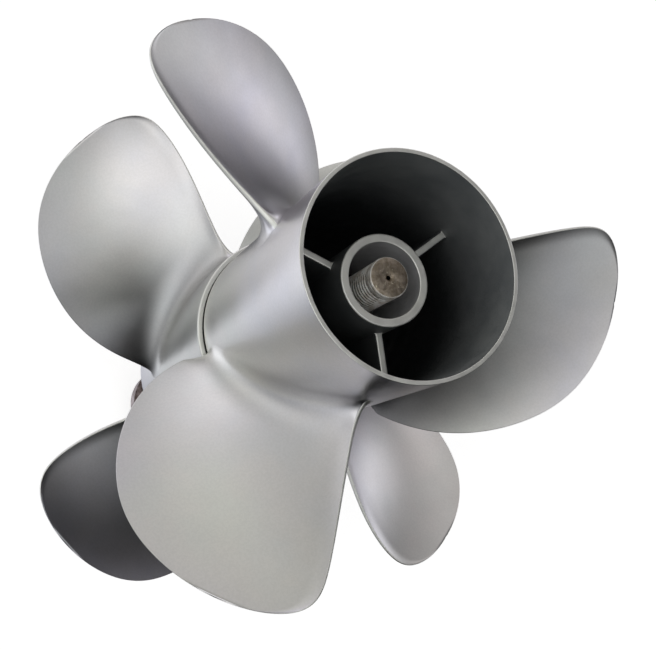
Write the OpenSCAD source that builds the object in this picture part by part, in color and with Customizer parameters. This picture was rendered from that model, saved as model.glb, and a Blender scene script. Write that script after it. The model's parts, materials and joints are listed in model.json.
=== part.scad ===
// Twin contra-rotating boat propeller on two coaxial shafts, with the exhaust led out through both hubs.
// +Z runs aft along the shafts. Z = 0 is the face of the bearing carrier's flange that seats on the gearcase.
// Sizes are millimetres and angles are degrees.

/* [Rear hub] */
// Length of the rear hub
rear_hub_l = 166.5; // [150:0.5:175]
// Outer radius of the rear hub
rear_hub_r = 60.3; // [59:0.1:62]
// Inner radius of the rear hub's wall
rear_bore_r = 57.2; // [56.5:0.1:57.6]
// Depth of the three ribs' aft edges below the rim
rear_rib_depth = 48; // [44:1:60]
// Direction of the first rib
rear_rib_angle = 99.4; // [0:0.1:119]
// Depth of the inner tube's aft face below the rim
tube_depth = 32; // [28:1:36]

/* [Front hub] */
// Length of the front hub
front_hub_l = 162; // [150:0.5:165]
// Outer radius of the front hub's aft lip
front_lip_r = 63.5; // [62:0.1:64]
// Outer radius of the front hub's forward end
front_hub_r = 65; // [64:0.1:67]
// Inner radius of the front hub's wall
front_bore_r = 60.2; // [59.8:0.1:61]
// Axial gap between the two hubs
hub_gap = 1.5; // [1:0.1:3]
// Thickness of every rib
rib_t = 4.4; // [2.5:0.1:5]

/* [Rear blades] */
// Tip radius of the three right-hand blades
rear_tip_r = 177.2; // [165:0.1:185]
// Direction of the first rear blade's reference line
rear_blade_angle = 180; // [0:0.1:360]
// Pitch at the root of a rear blade
rear_root_pitch = 566; // [520:1:610]
// Pitch at the tip of a rear blade
rear_tip_pitch = 536; // [500:1:600]
// Half the width of a rear blade along its helix, at its root
rear_half_w_root = 65.5; // [60:0.5:70]
// Half the width of a rear blade along its helix, a third of the way out
rear_half_w_third = 69.5; // [64:0.5:75]
// Half the width of a rear blade along its helix, two thirds of the way out
rear_half_w_two_thirds = 69; // [63:0.5:74]
// Half the width of a rear blade along its helix, at its tip, before the corners round off
rear_half_w_tip = 50.5; // [45:0.5:56]
// How far forward of the reference line the middle of a rear blade lies, at its root
rear_sweep_root = 13.5; // [10:0.5:17]
// How far forward of the reference line the middle of a rear blade lies, a third of the way out
rear_sweep_third = 14; // [10:0.5:18]
// How far forward of the reference line the middle of a rear blade lies, two thirds of the way out
rear_sweep_two_thirds = 6; // [2:0.5:10]
// How far forward of the reference line the middle of a rear blade lies, at its tip
rear_sweep_tip = -17; // [-21:0.5:-13]
// How far forward of the rear rim a rear blade's reference line lies, at its root
rear_station_root = 103; // [99:0.5:107]
// How far forward of the rear rim a rear blade's reference line lies, halfway out
rear_station_middle = 95; // [90:0.5:100]
// How far forward of the rear rim a rear blade's reference line lies, at its tip
rear_station_tip = 74; // [69:0.5:79]
// Squareness of the tip: a higher number gives a squarer tip
rear_tip_power = 22; // [6:1:30]

/* [Front blades] */
// Tip radius of the four left-hand blades
front_tip_r = 186.3; // [175:0.1:195]
// Direction of the first front blade's reference line
front_blade_angle = 243.8; // [0:0.1:360]
// Pitch at the root of a front blade
front_root_pitch = 585; // [550:1:620]
// Pitch at the tip of a front blade
front_tip_pitch = 354; // [330:1:400]
// Half the width of a front blade along its helix, at its root
front_half_w_root = 58.5; // [53:0.5:63]
// Half the width of a front blade along its helix, a third of the way out
front_half_w_third = 63; // [58:0.5:68]
// Half the width of a front blade along its helix, two thirds of the way out
front_half_w_two_thirds = 65.5; // [60:0.5:70]
// Half the width of a front blade along its helix, at its tip, before the corners round off
front_half_w_tip = 43.5; // [38:0.5:48]
// How far forward of the reference line the middle of a front blade lies, at its root
front_sweep_root = -42; // [-45:0.5:-38]
// How far forward of the reference line the middle of a front blade lies, a third of the way out
front_sweep_third = -68.5; // [-72:0.5:-65]
// How far forward of the reference line the middle of a front blade lies, two thirds of the way out
front_sweep_two_thirds = -106; // [-110:0.5:-102]
// How far forward of the reference line the middle of a front blade lies, at its tip
front_sweep_tip = -158; // [-162:0.5:-154]
// How far forward of the rear rim a front blade's reference line lies, at its root
front_station_root = 277.5; // [274:0.5:281]
// How far forward of the rear rim a front blade's reference line lies, halfway out
front_station_middle = 281.5; // [277:0.5:286]
// How far forward of the rear rim a front blade's reference line lies, at its tip
front_station_tip = 258; // [253:0.5:263]
// Squareness of the tip: a higher number gives a squarer tip
front_tip_power = 26; // [6:1:30]

/* [Blade sections] */
// Radius at which the span fraction is zero
span_zero_r = 48.2; // [45:0.1:50]
// Thickness at the root
root_t = 9; // [7:0.1:12]
// Thickness at the tip
tip_t = 2.6; // [2:0.1:4]
// Thickness of the blunt trailing edge at the root
trailing_t = 3.2; // [2:0.1:4]
// Thickness of the leading edge
leading_t = 1.2; // [0.8:0.1:2]
// How far the trailing edge is cupped
cup = 1.8; // [0:0.1:3]
// How far up the blade the fillet at its root reaches
fillet_r = 22; // [16:1:26]

/* [Shafts] */
// Radius of the inner shaft's splines
inner_spline_r = 14; // [13:0.1:14.2]
// Radius of the inner shaft's bearing journals
inner_journal_r = 15; // [14.5:0.1:15.2]
// Radius of the thread on the inner shaft's aft end
thread_r = 11.1; // [10:0.1:12]
// Radius of the outer shaft's splines
outer_spline_r = 24; // [23.6:0.1:24.4]
// Radius of the outer shaft's carrier bearing journal
outer_journal_r = 25.5; // [25:0.1:25.8]
// Number of splines on each shaft
splines = 12; // [8:1:16]
// Depth of the spline grooves
spline_depth = 1.2; // [0.8:0.1:1.4]
// Radial running clearance of every bearing and seal
run_gap = 0.05; // [0.02:0.01:0.08]

/* [Bearing carrier] */
// Radius of the carrier's spigot
spigot_r = 36; // [35:0.5:40]
// Length of the carrier's spigot
spigot_l = 52; // [48:1:60]
// Radius of the carrier's flange
flange_r = 48; // [46:0.5:50]
// Radius of the bolt circle
bolt_circle_r = 42; // [41:0.5:43]
// Radius of the bolt holes
bolt_hole_r = 3.3; // [2.7:0.1:3.4]
// Outer radius of the forward shaft bearing
fore_bearing_r = 34; // [32:0.5:37]

/* [Hidden] */
$fn = 96;

STEEL = [0.72, 0.72, 0.73];
SHAFT_STEEL = [0.5, 0.47, 0.44];
BRASS = [0.8, 0.63, 0.3];
RUBBER = [0.08, 0.08, 0.08];
CARRIER_GREY = [0.4, 0.41, 0.43];

// Stations along the shafts, from forward to aft
flange_t = 8;
front_hub_z = 14;
front_end_z = front_hub_z + front_hub_l;
rear_hub_z = front_end_z + hub_gap;
rim_z = rear_hub_z + rear_hub_l;
tube_z = rim_z - tube_depth;
rear_rib_z = rim_z - rear_rib_depth;

// Inner shaft
shaft_end_z = tube_z + 5;
inner_fore_z = -178;
fore_bearing_l = 17;
fore_bearing_z = inner_fore_z + 1;
fore_shoulder_z = fore_bearing_z + fore_bearing_l;
fore_seat_r = 17.5;
gear_spline_l = 44;
inner_neck_r = 13.2;
rear_sleeve_z = rear_hub_z + 12;
pilot_l = 2;
pilot_groove = 0.6;
end_chamfer = 0.5;

// Outer shaft
outer_fore_z = -86;
outer_aft_z = front_end_z - 4;
outer_bore_r = 16.2;
outer_thread_r = 22.6;
front_sleeve_z = front_hub_z + 14;
front_sleeve_l = 104;
front_nut_z = front_sleeve_z + front_sleeve_l + 4;
ring_nut_z = front_nut_z + 2;
ring_nut_h = 12;
ring_nut_r = 29;
ring_nut_slot = 6;

// Bearings between the shafts and in the carrier
cup_r = 19.2;
cup_l = 20;
roller_r = 1.3;
roller_count = 14;
carrier_roller_r = 2;
carrier_roller_count = 18;
carrier_cup_r = outer_journal_r + 2 * carrier_roller_r + 1.7;
carrier_bearing_z = -44;
carrier_bearing_l = 24;
fore_cup_z = outer_fore_z + 4;
aft_cup_z = front_nut_z - 2;
seal_l = 7;
shaft_seal_z = outer_aft_z - seal_l - 1;

// Cushioned hubs
rear_sleeve_r = 17.4;
rear_rubber_r = 21.6;
rear_tube_r = 25.2;
pocket_r = 20.6;
front_sleeve_r = 28.4;
front_rubber_r = 33.4;
front_tube_r = 37;
front_seat_r = (front_lip_r + front_hub_r) / 2 + 0.2;
rear_sleeve_l = 47;
rear_web_z = rear_sleeve_z + rear_sleeve_l;
web_t = 8;

// Lock nut, its washers, and the relief groove that parts the nut's thread from the bare end thread
rear_washer_z = rear_web_z + web_t + 0.1;
rear_washer_t = 4;
rear_nut_z = rear_washer_z + rear_washer_t + 1.7;
rear_nut_h = 13;
rear_nut_r = 18.3;
nut_fit = 0.05;
relief_z = rear_nut_z + rear_nut_h + 1;
relief_l = 3;
tab_t = 1.5;
tab_w = 8;

// A ring about the shaft axis
module ring(z, length, outer, inner) {
    translate([0, 0, z])
        difference() {
            cylinder(h = length, r = outer);
            translate([0, 0, -1])
                cylinder(h = length + 2, r = inner);
        }
}

// Spline grooves, to be cut from a shaft of radius r
module spline_grooves(r, z, length, depth) {
    for (i = [0:splines - 1])
        rotate(i * 360 / splines)
            translate([r - depth, -spline_w(r) / 2, z])
                cube([depth + 2, spline_w(r), length]);
}

// Width of a spline groove at radius r
function spline_w(r) = PI * r / splines;

// Splined sleeve: a tube with teeth that reach into the shaft's grooves
module spline_sleeve(z, length, outer, shaft_r) {
    difference() {
        ring(z, length, outer, shaft_r - spline_depth + 0.3);
        for (i = [0:splines - 1])
            rotate((i + 0.5) * 360 / splines)
                translate([0, -spline_w(shaft_r) / 2 - 0.1, z - 1])
                    cube([shaft_r + 0.1, 2 * PI * shaft_r / splines - spline_w(shaft_r) + 0.2, length + 2]);
    }
}

// Needle or roller set: cylinders standing in a circle
module rollers(z, length, pitch_r, r, count) {
    for (i = [0:count - 1])
        rotate(i * 360 / count)
            translate([pitch_r, 0, z])
                cylinder(h = length, r = r, $fn = 32);
}

// Drawn cup: a thin shell with a lip turned in at each end
module bearing_cup(z, length, outer, wall, lip_r) {
    rotate_extrude()
        polygon([[outer - wall, z + wall], [lip_r, z + wall], [lip_r, z], [outer, z], [outer, z + length],
                 [lip_r, z + length], [lip_r, z + length - wall], [outer - wall, z + length - wall]]);
}

// Lip seal: a flat case with one lip that runs on the shaft
module lip_seal(z, length, outer, shaft_r) {
    rotate_extrude()
        polygon([[shaft_r + 0.8, z], [outer, z], [outer, z + length], [outer - 1.5, z + length],
                 [outer - 1.5, z + 1.8], [shaft_r + 2, z + 1.8], [shaft_r + 1.4, z + length - 1],
                 [shaft_r + run_gap, z + length - 2], [shaft_r + run_gap, z + length - 2.8]]);
}

// ---- Blades -------------------------------------------------------------------------------------

// Blade dimensions gathered from the root to the tip, at evenly spaced stations
rear_half_w = [rear_half_w_root, rear_half_w_third, rear_half_w_two_thirds, rear_half_w_tip];
rear_sweep = [rear_sweep_root, rear_sweep_third, rear_sweep_two_thirds, rear_sweep_tip];
rear_station = [rear_station_root, rear_station_middle, rear_station_tip];
front_half_w = [front_half_w_root, front_half_w_third, front_half_w_two_thirds, front_half_w_tip];
front_sweep = [front_sweep_root, front_sweep_third, front_sweep_two_thirds, front_sweep_tip];
front_station = [front_station_root, front_station_middle, front_station_tip];

// How far a blade's root reaches into the hub's wall, and the fillet's share along the chord and off each face
root_sink = 1.6;
fillet_along = 0.3;
fillet_off = 0.65;
// The tip is cut just short of its full radius, where the chord would run out to nothing
tip_cut = 0.9995;
// Chord position at which the cup starts
cup_start = -0.8;

chord_steps = 13;
fillet_steps = 6;
span_steps = 16;
ring_points = 2 * chord_steps + 2;
ring_count = 1 + fillet_steps + span_steps;

// Smooth curve through values at evenly spaced stations, read at x from 0 at the first to 1 at the last
function product(v, i = 0) = i == len(v) ? 1 : v[i] * product(v, i + 1);
function through(values, x) =
    let (n = len(values) - 1)
    values * [for (i = [0:n]) product([for (j = [0:n]) if (j != i) (n * x - j) / (i - j)])];

// Radius of ring i and the fillet's flare there: one ring in the hub's wall, then the fillet, then the span.
// The fillet is a parabola that runs out along the hub at one end and up the blade at the other.
function ring_radius(i, hub_r, tip_r) =
    i == 0 ? hub_r - root_sink :
    i <= fillet_steps ? hub_r + fillet_r * pow((i - 1) / fillet_steps, 2) :
    hub_r + fillet_r + (tip_cut * tip_r - hub_r - fillet_r) * sin(90 * (i - fillet_steps - 1) / (span_steps - 1));
function ring_flare(i) =
    i == 0 ? fillet_r :
    i <= fillet_steps ? fillet_r * pow(1 - (i - 1) / fillet_steps, 2) : 0;

// Point at radius r: along the helix from the reference line by a, and off the pressure face by h
function helix_point(r, a, h, pitch, station) =
    let (lead = atan(pitch / (2 * PI * r)),
         turn = (a * cos(lead) - h * sin(lead)) / r * 180 / PI)
    [r * cos(turn), -r * sin(turn), -station - a * sin(lead) - h * cos(lead)];

// Height of the back above the pressure face at chord position t, which runs from -1 aft to 1 forward
function back_height(t, x) =
    let (thick = root_t + (tip_t - root_t) * pow(x, 0.8),
         aft = trailing_t * (1 - 0.5 * x),
         edge = t < 0 ? aft : leading_t)
    edge + max(0, thick - edge) * pow(max(0, 1 - t * t), 0.7);

// The cup bends the trailing edge aft
function cup_drop(t) = t < cup_start ? cup * pow((cup_start - t) / (1 + cup_start), 2) : 0;

// Points of one blade, ring by ring: the pressure face from aft to forward, then the back from forward to aft.
// The leading edge stops at fore_limit, so that the root stays on the hub.
function blade_points(hub_r, tip_r, root_pitch, tip_pitch, stations, sweep, half_w, tip_power, fore_limit) = [
    for (i = [0:ring_count - 1])
        let (r = ring_radius(i, hub_r, tip_r),
             flare = ring_flare(i),
             x = (r - span_zero_r) / (tip_r - span_zero_r),
             p = root_pitch + (tip_pitch - root_pitch) * x,
             station = through(stations, x),
             lead = atan(p / (2 * PI * r)),
             half = sqrt(1 - pow(x, tip_power)) * through(half_w, x),
             mid = through(sweep, x),
             aft_end = mid - half - fillet_along * flare,
             fore_end = min(mid + half + fillet_along * flare, (fore_limit - station) / sin(lead)))
        for (k = [0:ring_points - 1])
            let (j = k <= chord_steps ? k : ring_points - 1 - k,
                 t = -cos(180 * j / chord_steps),
                 along = aft_end + (fore_end - aft_end) * (t + 1) / 2,
                 base = -cup_drop(t) * min(1, 4 * x),
                 out = fillet_off * flare * sqrt(1 - pow(t, 6)),
                 h = k <= chord_steps ? base - out : base + back_height(t, x) + out)
            helix_point(r, along, h, p, station)
];

// Triangles of a blade: the skin between rings, then a strip across the root and one across the tip
blade_faces = concat(
    [for (i = [0:ring_count - 2]) for (k = [0:ring_points - 1])
        let (a = i * ring_points + k, b = i * ring_points + (k + 1) % ring_points)
        [a, b, a + ring_points]],
    [for (i = [0:ring_count - 2]) for (k = [0:ring_points - 1])
        let (a = i * ring_points + k, b = i * ring_points + (k + 1) % ring_points)
        [b, b + ring_points, a + ring_points]],
    [for (k = [0:chord_steps - 1])
        [k, ring_points - 1 - k, k + 1]],
    [for (k = [0:chord_steps - 1])
        [k + 1, ring_points - 1 - k, ring_points - 2 - k]],
    let (top = (ring_count - 1) * ring_points)
    [for (k = [0:chord_steps - 1])
        [top + k, top + k + 1, top + ring_points - 1 - k]],
    let (top = (ring_count - 1) * ring_points)
    [for (k = [0:chord_steps - 1])
        [top + k + 1, top + ring_points - 2 - k, top + ring_points - 1 - k]]
);

module rear_blade(n) {
    color(STEEL)
        translate([0, 0, rim_z])
            rotate(rear_blade_angle - 120 * (n - 1))
                polyhedron(points = blade_points(rear_hub_r, rear_tip_r, rear_root_pitch, rear_tip_pitch,
                                                 rear_station, rear_sweep, rear_half_w, rear_tip_power,
                                                 rear_hub_l - 3),
                           faces = blade_faces, convexity = 6);
}

module front_blade(n) {
    color(STEEL)
        translate([0, 0, rim_z])
            rotate(front_blade_angle - 90 * (n - 1))
                mirror([0, 1, 0])
                    polyhedron(points = blade_points(front_seat_r, front_tip_r, front_root_pitch, front_tip_pitch,
                                                     front_station, front_sweep, front_half_w, front_tip_power,
                                                     rim_z - front_hub_z - 3),
                               faces = blade_faces, convexity = 6);
}

// ---- Hubs ---------------------------------------------------------------------------------------

// Rear hub's wall, with a rounded and slightly flared rim
module rear_hub_barrel() {
    color(STEEL)
        rotate_extrude()
            polygon([[rear_bore_r, rear_hub_z], [rear_hub_r - 0.5, rear_hub_z], [rear_hub_r, rear_hub_z + 0.8],
                     [rear_hub_r, rim_z - 0.8], [rear_hub_r - 0.6, rim_z], [rear_bore_r + 1, rim_z],
                     [rear_bore_r + 0.7, rim_z - 0.6], [rear_bore_r, rim_z - 12]]);
}

// Rear hub's inner tube: bushing bore forward, a web, and the nut pocket aft
module rear_hub_tube() {
    color(STEEL)
        rotate_extrude()
            polygon([[rear_rubber_r, rear_hub_z + 6], [rear_tube_r, rear_hub_z + 6], [rear_tube_r, tube_z - 0.8],
                     [rear_tube_r - 0.8, tube_z], [pocket_r + 0.4, tube_z], [pocket_r, tube_z - 0.4],
                     [pocket_r, rear_web_z + web_t], [inner_spline_r + 0.6, rear_web_z + web_t],
                     [inner_spline_r + 0.6, rear_web_z], [rear_rubber_r, rear_web_z]]);
}

// Ribs between a hub's inner tube and its wall
module ribs(count, angle, z0, z1, inner, outer) {
    intersection() {
        ring(z0, z1 - z0, outer, inner);
        for (i = [0:count - 1])
            rotate(angle + i * 360 / count)
                translate([inner - 6, -rib_t / 2, z0 - 1])
                    cube([outer - inner + 12, rib_t, z1 - z0 + 2]);
    }
}

module rear_hub_ribs() {
    color(STEEL)
        ribs(3, rear_rib_angle, rear_hub_z + 20, rear_rib_z, rear_tube_r, rear_bore_r);
}

module rear_hub_bushing() {
    color(RUBBER)
        ring(rear_sleeve_z, rear_sleeve_l - 1, rear_rubber_r, rear_sleeve_r);
}

module rear_spline_sleeve() {
    color(BRASS)
        spline_sleeve(rear_sleeve_z, rear_sleeve_l - 1, rear_sleeve_r, inner_spline_r);
}

// Front hub's wall: it widens a little forward
module front_hub_barrel() {
    color(STEEL)
        rotate_extrude()
            polygon([[front_bore_r, front_hub_z], [front_hub_r - 0.8, front_hub_z],
                     [front_hub_r, front_hub_z + 0.8], [front_hub_r, front_hub_z + 20],
                     [front_lip_r, front_end_z - 12], [front_lip_r, front_end_z - 0.6],
                     [front_lip_r - 0.6, front_end_z], [front_bore_r, front_end_z]]);
}

// Front hub's inner tube: bushing bore, and a web that the ring nut draws against
module front_hub_tube() {
    color(STEEL)
        rotate_extrude()
            polygon([[front_rubber_r, front_hub_z + 4], [front_tube_r, front_hub_z + 4],
                     [front_tube_r, front_end_z - 6], [front_rubber_r, front_end_z - 6],
                     [front_rubber_r, front_nut_z], [outer_spline_r + 0.6, front_nut_z],
                     [outer_spline_r + 0.6, front_nut_z - 4], [front_rubber_r, front_nut_z - 4]]);
}

module front_hub_ribs() {
    color(STEEL)
        ribs(4, front_blade_angle - 30, front_hub_z + 12, front_end_z - 18, front_tube_r, front_bore_r);
}

module front_hub_bushing() {
    color(RUBBER)
        ring(front_sleeve_z, front_sleeve_l - 1, front_rubber_r, front_sleeve_r);
}

module front_spline_sleeve() {
    color(BRASS)
        spline_sleeve(front_sleeve_z, front_sleeve_l - 1, front_sleeve_r, outer_spline_r);
}

// ---- Shafts -------------------------------------------------------------------------------------

// Inner shaft: forward bearing seat, gear spline, journals, thrust cone, hub spline, thread and plain pilot
module inner_shaft() {
    color(SHAFT_STEEL)
        difference() {
            rotate_extrude()
                polygon([[0, inner_fore_z], [fore_seat_r - 1, inner_fore_z], [fore_seat_r, inner_fore_z + 1],
                         [fore_seat_r, fore_shoulder_z],
                         [fore_seat_r + 3, fore_shoulder_z], [fore_seat_r + 3, fore_shoulder_z + 5],
                         [fore_seat_r - 1, fore_shoulder_z + 5], [fore_seat_r - 1, outer_fore_z - 6],
                         [inner_journal_r, outer_fore_z - 4], [inner_journal_r, fore_cup_z + cup_l + 2],
                         [inner_neck_r, fore_cup_z + cup_l + 5], [inner_neck_r, aft_cup_z - 5],
                         [inner_journal_r, aft_cup_z - 2], [inner_journal_r, outer_aft_z + 5],
                         [inner_spline_r, rear_sleeve_z - 6], [inner_spline_r, rear_web_z + web_t - 0.5],
                         [thread_r, rear_washer_z + 2.5], [thread_r, relief_z],
                         [thread_r - 0.9, relief_z], [thread_r - 0.9, relief_z + relief_l],
                         [thread_r, relief_z + relief_l], [thread_r, shaft_end_z - pilot_l - pilot_groove],
                         [thread_r - pilot_groove, shaft_end_z - pilot_l - pilot_groove],
                         [thread_r - pilot_groove, shaft_end_z - pilot_l],
                         [thread_r, shaft_end_z - pilot_l], [thread_r, shaft_end_z - end_chamfer],
                         [thread_r - end_chamfer, shaft_end_z], [0, shaft_end_z]]);
            spline_grooves(inner_spline_r, rear_sleeve_z - 2, rear_web_z - rear_sleeve_z + 4, spline_depth);
            spline_grooves(fore_seat_r - 1, fore_shoulder_z + 14, gear_spline_l, spline_depth);
            translate([0, 0, shaft_end_z - 8])
                cylinder(h = 9, r = 1.4);
            translate([0, 0, shaft_end_z - 1.6])
                cylinder(h = 1.7, r1 = 1.2, r2 = 2.9);
        }
}

// Outer shaft: a sleeve with a gear spline, the carrier journal, a thrust step, the hub spline and a thread
module outer_shaft() {
    color(SHAFT_STEEL)
        difference() {
            rotate_extrude()
                polygon([[outer_bore_r, fore_cup_z + cup_l], [cup_r, fore_cup_z + cup_l],
                         [cup_r, outer_fore_z + 1], [cup_r + 0.6, outer_fore_z], [outer_spline_r - 1, outer_fore_z],
                         [outer_spline_r, outer_fore_z + 1], [outer_spline_r, carrier_bearing_z - 6],
                         [outer_journal_r, carrier_bearing_z - 5], [outer_journal_r, front_hub_z - 2],
                         [outer_spline_r, front_hub_z - 2], [outer_spline_r, front_nut_z - 1],
                         [outer_thread_r, front_nut_z - 0.4], [outer_thread_r, outer_aft_z - 1],
                         [outer_thread_r - 1, outer_aft_z], [cup_r, outer_aft_z], [cup_r, aft_cup_z],
                         [outer_bore_r, aft_cup_z]]);
            spline_grooves(outer_spline_r, front_sleeve_z - 2, front_sleeve_l + 2, spline_depth);
            spline_grooves(outer_spline_r, outer_fore_z - 1, 31, spline_depth);
        }
}

module fore_bearing_cup() {
    color(SHAFT_STEEL)
        bearing_cup(fore_cup_z, cup_l, cup_r, 1.4, inner_journal_r + 0.9);
}

module fore_bearing_rollers() {
    color(STEEL)
        rollers(fore_cup_z + 2, cup_l - 4, inner_journal_r + roller_r + run_gap, roller_r, roller_count);
}

module aft_bearing_cup() {
    color(SHAFT_STEEL)
        bearing_cup(aft_cup_z, cup_l, cup_r, 1.4, inner_journal_r + 0.9);
}

module aft_bearing_rollers() {
    color(STEEL)
        rollers(aft_cup_z + 2, cup_l - 4, inner_journal_r + roller_r + run_gap, roller_r, roller_count);
}

module shaft_seal() {
    color(RUBBER)
        lip_seal(shaft_seal_z, seal_l, cup_r, inner_journal_r);
}

// Cone-faced ring that carries the front propeller's thrust
module front_thrust_hub() {
    color(BRASS)
        rotate_extrude()
            polygon([[outer_spline_r + 0.05, front_hub_z - 2], [outer_journal_r + 6, front_hub_z - 2],
                     [front_sleeve_r + 3, front_hub_z + 1], [front_sleeve_r, front_sleeve_z - 1],
                     [outer_spline_r + 0.05, front_sleeve_z - 1]]);
}

// Cone-faced ring that carries the rear propeller's thrust against the shaft's taper
module rear_thrust_hub() {
    color(BRASS)
        rotate_extrude()
            polygon([[inner_spline_r + 0.05, rear_sleeve_z - 5.9], [inner_spline_r + 0.55, rear_sleeve_z - 9],
                     [rear_rubber_r - 2, rear_sleeve_z - 9], [rear_rubber_r - 1, rear_sleeve_z - 8],
                     [rear_rubber_r - 1, rear_sleeve_z - 3],
                     [rear_sleeve_r, rear_sleeve_z - 0.5], [inner_spline_r + 0.05, rear_sleeve_z - 0.5]]);
}

// Washer with one tab bent up against the nut above it
module tab_washer(z, outer, inner, tab_h) {
    union() {
        ring(z, tab_t, outer, inner);
        rotate(30)
            translate([outer - 2 * tab_t, -tab_w / 2, z + tab_t / 2])
                cube([tab_t, tab_w, tab_h]);
    }
}

module rear_thrust_washer() {
    color(BRASS)
        ring(rear_washer_z, rear_washer_t, pocket_r - 0.5, inner_spline_r + 0.2);
}

module rear_tab_washer() {
    color(SHAFT_STEEL)
        tab_washer(rear_washer_z + rear_washer_t + 0.1, pocket_r - 0.5, thread_r + 0.4, 5);
}

// Hexagon nut with chamfered corners
module rear_lock_nut() {
    color(SHAFT_STEEL)
        difference() {
            intersection() {
                translate([0, 0, rear_nut_z])
                    cylinder(h = rear_nut_h, r = rear_nut_r, $fn = 6);
                translate([0, 0, rear_nut_z])
                    cylinder(h = rear_nut_h, r1 = rear_nut_r + 4, r2 = rear_nut_r - 1);
            }
            translate([0, 0, rear_nut_z - 1])
                cylinder(h = rear_nut_h + 2, r = thread_r + nut_fit);
        }
}

module front_tab_washer() {
    color(SHAFT_STEEL)
        tab_washer(front_nut_z + 0.1, front_rubber_r - 0.8, outer_thread_r + 0.2, 5);
}

// Slotted ring nut that holds the front propeller on the outer shaft
module front_ring_nut() {
    color(SHAFT_STEEL)
        difference() {
            ring(ring_nut_z, ring_nut_h, ring_nut_r, outer_thread_r + 0.05);
            for (i = [0:5])
                rotate(i * 60)
                    translate([ring_nut_r - 3, -ring_nut_slot / 2, ring_nut_z + 5])
                        cube([5, ring_nut_slot, ring_nut_h]);
        }
}

// ---- Bearing carrier and forward bearing ----------------------------------------------------------------------

module bearing_carrier() {
    color(CARRIER_GREY)
        difference() {
            rotate_extrude()
                polygon([[outer_journal_r + 0.4, -spigot_l], [spigot_r - 1, -spigot_l], [spigot_r, 1 - spigot_l],
                         [spigot_r, -12], [spigot_r - 2.6, -12], [spigot_r - 2.6, -8], [spigot_r, -8],
                         [spigot_r, 0], [flange_r, 0], [flange_r, flange_t - 1], [flange_r - 1, flange_t],
                         [carrier_cup_r + 0.4, flange_t], [carrier_cup_r + 0.4, flange_t - seal_l - 1],
                         [outer_journal_r + 0.4, flange_t - seal_l - 1],
                         [outer_journal_r + 0.4, carrier_bearing_z + carrier_bearing_l],
                         [carrier_cup_r, carrier_bearing_z + carrier_bearing_l],
                         [carrier_cup_r, carrier_bearing_z], [outer_journal_r + 0.4, carrier_bearing_z]]);
            for (i = [0:3])
                rotate(45 + i * 90)
                    translate([bolt_circle_r, 0, -1])
                        cylinder(h = flange_t + 2, r = bolt_hole_r);
        }
}

module carrier_o_ring() {
    color(RUBBER)
        rotate_extrude()
            translate([spigot_r - 1.1, -10])
                circle(r = 1.5, $fn = 32);
}

module carrier_seal() {
    color(RUBBER)
        lip_seal(flange_t - seal_l, seal_l - 0.5, carrier_cup_r + 0.4, outer_journal_r);
}

module carrier_bearing_cup() {
    color(SHAFT_STEEL)
        bearing_cup(carrier_bearing_z, carrier_bearing_l, carrier_cup_r, 1.5, outer_journal_r + 1.2);
}

module carrier_bearing_rollers() {
    color(STEEL)
        rollers(carrier_bearing_z + 2, carrier_bearing_l - 4, outer_journal_r + carrier_roller_r + run_gap,
                carrier_roller_r, carrier_roller_count);
}

ball_r = 4.4;
ball_count = 9;
ball_circle_r = (fore_seat_r + fore_bearing_r) / 2;

// One ring of the forward ball bearing, with its groove
module race(inner, outer) {
    difference() {
        ring(fore_bearing_z, fore_bearing_l, outer, inner);
        rotate_extrude()
            translate([ball_circle_r, fore_bearing_z + fore_bearing_l / 2])
                circle(r = ball_r + run_gap);
    }
}

module forward_bearing_outer_ring() {
    color(SHAFT_STEEL)
        race(ball_circle_r + 2.6, fore_bearing_r);
}

module forward_bearing_inner_ring() {
    color(SHAFT_STEEL)
        race(fore_seat_r, ball_circle_r - 2.6);
}

module forward_bearing_balls() {
    color(STEEL)
        for (i = [0:ball_count - 1])
            rotate(i * 360 / ball_count)
                translate([ball_circle_r, 0, fore_bearing_z + fore_bearing_l / 2])
                    sphere(r = ball_r);
}

module forward_bearing_cage() {
    color(BRASS)
        difference() {
            ring(fore_bearing_z + 3, fore_bearing_l - 6, ball_circle_r + 1.2, ball_circle_r - 1.2);
            for (i = [0:ball_count - 1])
                rotate(i * 360 / ball_count)
                    translate([ball_circle_r, 0, fore_bearing_z + fore_bearing_l / 2])
                        sphere(r = ball_r + 0.15);
        }
}

bearing_carrier();
carrier_o_ring();
carrier_seal();
carrier_bearing_cup();
carrier_bearing_rollers();
forward_bearing_outer_ring();
outer_shaft();
fore_bearing_cup();
fore_bearing_rollers();
aft_bearing_cup();
aft_bearing_rollers();
shaft_seal();
front_thrust_hub();
front_spline_sleeve();
front_hub_bushing();
front_hub_tube();
front_hub_ribs();
front_hub_barrel();
front_blade(1);  // front_blade_1
front_blade(2);  // front_blade_2
front_blade(3);  // front_blade_3
front_blade(4);  // front_blade_4
front_tab_washer();
front_ring_nut();
inner_shaft();
forward_bearing_inner_ring();
forward_bearing_balls();
forward_bearing_cage();
rear_thrust_hub();
rear_spline_sleeve();
rear_hub_bushing();
rear_hub_tube();
rear_hub_ribs();
rear_hub_barrel();
rear_blade(1);  // rear_blade_1
rear_blade(2);  // rear_blade_2
rear_blade(3);  // rear_blade_3
rear_thrust_washer();
rear_tab_washer();
rear_lock_nut();
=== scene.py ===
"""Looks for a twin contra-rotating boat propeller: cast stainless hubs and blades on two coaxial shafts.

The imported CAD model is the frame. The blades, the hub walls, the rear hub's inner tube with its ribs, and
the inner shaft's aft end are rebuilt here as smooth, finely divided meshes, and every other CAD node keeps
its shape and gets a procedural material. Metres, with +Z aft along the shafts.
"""

import json
import math

import bmesh
import bpy
from mathutils import Matrix, Vector

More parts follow.
